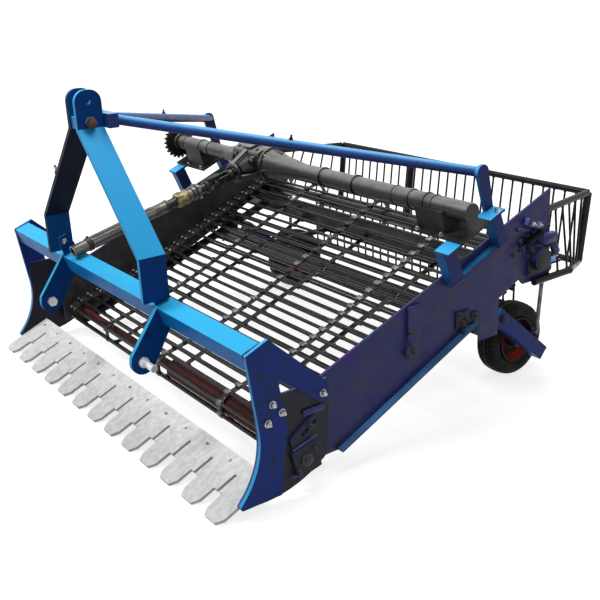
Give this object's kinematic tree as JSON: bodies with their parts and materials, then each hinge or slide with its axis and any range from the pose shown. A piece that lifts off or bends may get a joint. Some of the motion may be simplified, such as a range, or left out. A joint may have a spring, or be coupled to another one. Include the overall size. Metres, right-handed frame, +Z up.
{
  "type": "potato harvester",
  "caption": "Trailed potato harvester: toothed blade, rod-web conveyor between two side panels, hitch mast, drive line, gauge wheels and a rear fence.",
  "frame": {"origin": "centre of the outline on the ground under the blade tips and wheels", "axes": "+X towards the machine's left side, +Y rearward, +Z up"},
  "size_m": [1.775, 1.7238, 1.102],
  "materials": {
    "blue_paint": "gloss paint",
    "black_paint": "satin paint",
    "blade_paint": "matt light grey",
    "bright_steel": "zinc plated",
    "dark_steel": "dark drawn steel",
    "brown_primer": "matt red-brown",
    "belt_rubber": "matt",
    "tyre": "matt",
    "red_paint": "gloss paint"
  },
  "bodies": {
    "frame": {"crossbeam": "blue_paint", "foot_lugs": "blue_paint", "share": "blade_paint", "brace_clevis": "blue_paint", "gearbox": "black_paint", "rod_web": "dark_steel", "web_belts": "belt_rubber", "nose_roller": "brown_primer", "rear_roller": "dark_steel", "carrier_rollers": "dark_steel", "cross_tube": "black_paint", "rear_bearings": "dark_steel", "wheel_beam": "blue_paint", "arm_brackets": "blue_paint", "fence_rear": "black_paint", "rear_grid": "black_paint", "grid_arms": "black_paint", "side_plate_left": "black_paint", "side_plate_right": "black_paint", "side_frame_left": "blue_paint", "side_frame_right": "blue_paint", "side_panel_left": "blue_paint", "side_panel_right": "blue_paint", "mast_leg_left": "blue_paint", "mast_leg_right": "blue_paint", "hitch_bracket_left": "blue_paint", "hitch_bracket_right": "blue_paint", "hitch_pin_left": "bright_steel", "hitch_pin_right": "bright_steel", "brace_left": "blue_paint", "brace_right": "blue_paint", "hoop_left": "blue_paint", "hoop_right": "blue_paint", "tube_mount_left": "black_paint", "tube_mount_right": "black_paint", "drive_tube_left": "black_paint", "drive_tube_right": "black_paint", "fence_side_left": "black_paint", "fence_side_right": "black_paint"},
    "input_shaft": {"input_shaft": "dark_steel"},
    "input_tube": {"input_tube": "black_paint"},
    "sprocket_shaft": {"sprocket_shaft": "dark_steel"},
    "arm_left": {"arm_left": "blue_paint", "depth_rod_left": "dark_steel"},
    "wheel_left": {"tyre_left": "tyre", "rim_left": "red_paint"},
    "arm_right": {"arm_right": "blue_paint", "depth_rod_right": "dark_steel"},
    "wheel_right": {"tyre_right": "tyre", "rim_right": "red_paint"}
  },
  "joints": [
    {"name": "depth_left", "type": "hinge", "parent": "frame", "child": "arm_left", "pos_m": [0.7775, 0.32096, 0.288], "axis": [1, 0, 0], "range_deg": [-5, 5]},
    {"name": "wheel_spin_left", "type": "hinge", "parent": "arm_left", "child": "wheel_left", "pos_m": [0.6775, 0.49996, 0.135], "axis": [1, 0, 0], "continuous": true},
    {"name": "depth_right", "type": "hinge", "parent": "frame", "child": "arm_right", "pos_m": [-0.7425, 0.32096, 0.288], "axis": [1, 0, 0], "range_deg": [-5, 5]},
    {"name": "wheel_spin_right", "type": "hinge", "parent": "arm_right", "child": "wheel_right", "pos_m": [-0.6425, 0.49996, 0.135], "axis": [1, 0, 0], "continuous": true},
    {"name": "input_spin", "type": "hinge", "parent": "frame", "child": "input_shaft", "pos_m": [-0.2425, 0.06196, 0.72], "axis": [0, -0.9703, -0.2419], "continuous": true},
    {"name": "input_slide", "type": "slide", "parent": "input_shaft", "child": "input_tube", "axis": [0, -0.9703, -0.2419], "range_m": [0, 0.12]},
    {"name": "sprocket_spin", "type": "hinge", "parent": "frame", "child": "sprocket_shaft", "pos_m": [-0.8525, 0.06196, 0.72], "axis": [1, 0, 0], "continuous": true}
  ],
  "couplings": [
    {"joint": "sprocket_spin", "follows": "input_spin", "ratio": 1}
  ]
}
